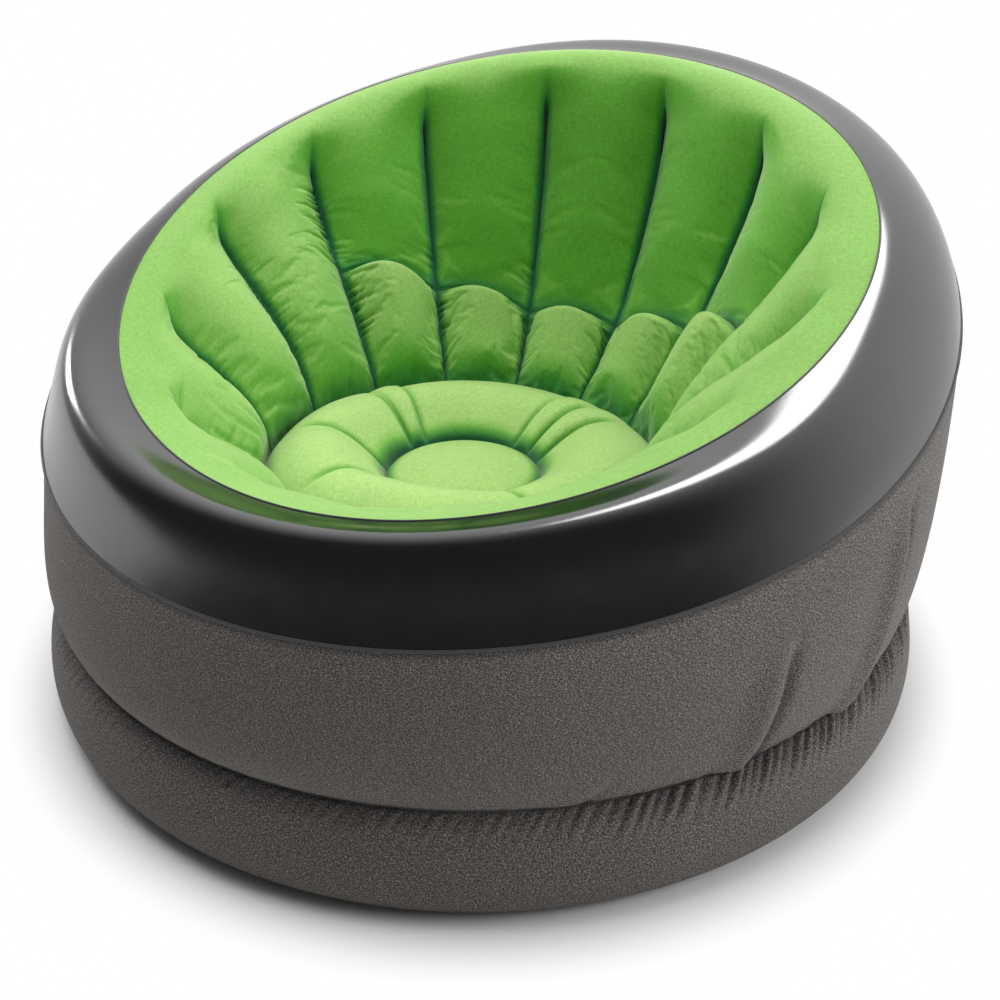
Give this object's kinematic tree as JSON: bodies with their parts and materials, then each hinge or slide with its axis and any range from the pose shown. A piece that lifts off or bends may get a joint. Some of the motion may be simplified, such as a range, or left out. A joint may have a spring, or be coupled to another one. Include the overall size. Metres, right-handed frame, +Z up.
{
  "type": "inflatable armchair",
  "caption": "Round inflatable armchair: a channelled bowl seat inside a smooth rim that slopes down to the front, over a pinched waist, with a hinged air valve at the back.",
  "frame": {"origin": "on the floor, at the middle of the round base", "axes": "+Z up; the low front of the chair faces -Y, the high back and its valve +Y; +X is the sitter's left, seen from the front it is on the right"},
  "size_m": [1.1184, 1.1187, 0.6842],
  "materials": {
    "flocked_green": "short flock",
    "gloss_charcoal": "gloss vinyl sheet",
    "woven_grey": "vinyl sheet with a woven-look surface",
    "plain_grey": "plain vinyl sheet",
    "valve_grey": "moulded",
    "clear_white": "translucent film"
  },
  "bodies": {
    "chair": {"floor_sheet": "plain_grey", "base_wall": "woven_grey", "side_wall": "woven_grey", "rim_wrap": "gloss_charcoal", "bowl_panel": "flocked_green", "lumbar_panel": "flocked_green", "seat_ring": "flocked_green", "seat_disc": "flocked_green", "rim_flange": "plain_grey", "wall_flange": "plain_grey", "waist_flange": "plain_grey", "floor_flange": "plain_grey", "seat_flange": "plain_grey", "disc_flange": "plain_grey", "waist_diaphragm": "plain_grey", "seat_drum": "plain_grey", "disc_drum": "plain_grey", "channel_web_01": "plain_grey", "channel_web_02": "plain_grey", "channel_web_03": "plain_grey", "channel_web_04": "plain_grey", "channel_web_05": "plain_grey", "channel_web_06": "plain_grey", "channel_web_07": "plain_grey", "channel_web_08": "plain_grey", "channel_web_09": "plain_grey", "channel_web_10": "plain_grey", "channel_web_11": "plain_grey", "channel_web_12": "plain_grey", "channel_web_13": "plain_grey", "channel_web_14": "plain_grey", "seat_web_1": "plain_grey", "seat_web_2": "plain_grey", "seat_web_3": "plain_grey", "seat_web_4": "plain_grey", "seat_web_5": "plain_grey", "seat_web_6": "plain_grey", "seat_web_7": "plain_grey", "seat_web_8": "plain_grey", "valve_patch": "plain_grey", "valve_neck": "valve_grey", "stopper_staple": "valve_grey"},
    "stopper": {"stopper": "valve_grey", "stopper_strap": "valve_grey", "cap_staple": "valve_grey", "flap_staple": "valve_grey"},
    "cap": {"inflation_cap": "valve_grey", "cap_strap": "valve_grey"},
    "flap": {"check_flap": "clear_white", "flap_strap": "clear_white"}
  },
  "joints": [
    {"name": "stopper_hinge", "type": "hinge", "parent": "chair", "child": "stopper", "pos_m": [0, 0.55505, 0.266], "axis": [-1, 0, 0], "range_deg": [0, 120]},
    {"name": "cap_hinge", "type": "hinge", "parent": "stopper", "child": "cap", "pos_m": [0, 0.55795, 0.285], "axis": [-1, 0, 0], "range_deg": [0, 100]},
    {"name": "flap_hinge", "type": "hinge", "parent": "stopper", "child": "flap", "pos_m": [0, 0.53925, 0.313], "axis": [-1, 0, 0], "range_deg": [0, 60]}
  ]
}
